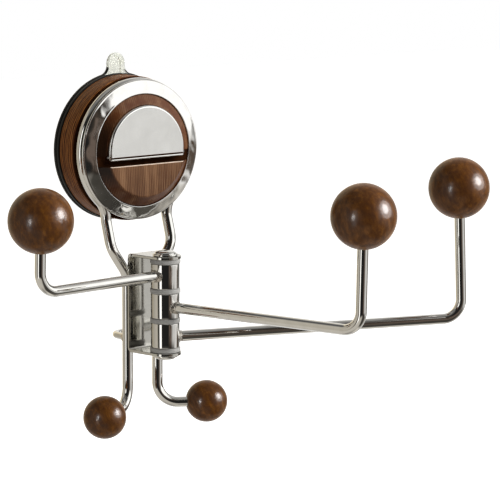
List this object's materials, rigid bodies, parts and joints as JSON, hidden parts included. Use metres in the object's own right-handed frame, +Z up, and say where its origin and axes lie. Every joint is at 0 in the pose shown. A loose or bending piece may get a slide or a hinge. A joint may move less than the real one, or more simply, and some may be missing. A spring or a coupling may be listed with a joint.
{
  "type": "swivel towel rack",
  "caption": "Suction-mounted towel rack: a turn knob with a fold-out grip on a wood-look drum holds a bent wire frame with swinging rods tipped by wooden balls.",
  "frame": {"origin": "centre of the suction pad's wall face", "axes": "+Y into the wall, +Z up, +X to the right as seen from the front; the front looks along -Y"},
  "size_m": [0.2908, 0.1879, 0.209],
  "materials": {
    "chrome": "bright polished",
    "steel": "bright, lightly brushed",
    "walnut": "dark stained, glossy lacquer",
    "walnut_film": "wood-grain film, glossy",
    "clear_rubber": "clear, soft",
    "black_plastic": "satin",
    "nylon": "plain grey",
    "brass": "turned"
  },
  "bodies": {
    "root": {"suction_pad": "clear_rubber", "backing_plate": "black_plastic", "drum_housing": "walnut_film", "housing_screw_1": "steel", "housing_screw_2": "steel", "housing_screw_3": "steel", "thrust_washer": "nylon", "bezel_ring": "chrome", "wire_frame": "chrome", "standoff_wire": "chrome", "foot_ball_left": "walnut", "foot_ball_right": "walnut", "pivot_bracket": "steel", "pivot_bolt": "chrome", "dome_nut": "chrome", "nylon_washer_1": "nylon", "nylon_washer_2": "nylon", "nylon_washer_3": "nylon", "nylon_washer_4": "nylon", "return_spring": "steel"},
    "knob": {"knob_cap": "walnut_film", "lift_nut": "brass", "hinge_pin_left": "steel", "hinge_pin_right": "steel"},
    "grip": {"half_moon_grip": "chrome"},
    "stud": {"pull_stud": "steel", "guide_pin": "steel"},
    "arm_upper": {"barrel_upper": "chrome", "rod_upper": "chrome", "ball_upper": "walnut"},
    "arm_middle": {"barrel_middle": "chrome", "rod_middle": "chrome", "ball_middle": "walnut"},
    "arm_lower": {"barrel_lower": "chrome", "rod_lower": "chrome", "ball_lower": "walnut"}
  },
  "joints": [
    {"name": "knob_turn", "type": "hinge", "parent": "root", "child": "knob", "pos_m": [0, 0, 0], "axis": [0, -1, 0], "range_deg": [0, 90]},
    {"name": "grip_fold", "type": "hinge", "parent": "knob", "child": "grip", "pos_m": [0, -0.0299, -0.0022], "axis": [1, 0, 0], "range_deg": [0, 90]},
    {"name": "stud_slide", "type": "slide", "parent": "root", "child": "stud", "axis": [0, 1, 0], "range_m": [0, 0.003], "deforming": ["return_spring"]},
    {"name": "arm_upper_swing", "type": "hinge", "parent": "root", "child": "arm_upper", "pos_m": [0, -0.0482, -0.06755], "axis": [0, 0, 1], "range_deg": [-25, 193.8]},
    {"name": "arm_middle_swing", "type": "hinge", "parent": "root", "child": "arm_middle", "pos_m": [0, -0.0482, -0.08415], "axis": [0, 0, 1], "range_deg": [-120.8, 85]},
    {"name": "arm_lower_swing", "type": "hinge", "parent": "root", "child": "arm_lower", "pos_m": [0, -0.0482, -0.10075], "axis": [0, 0, 1], "range_deg": [-171.3, 27.5]}
  ],
  "couplings": [
    {"joint": "stud_slide", "follows": "knob_turn", "m_per_rad": 0.0019098}
  ]
}
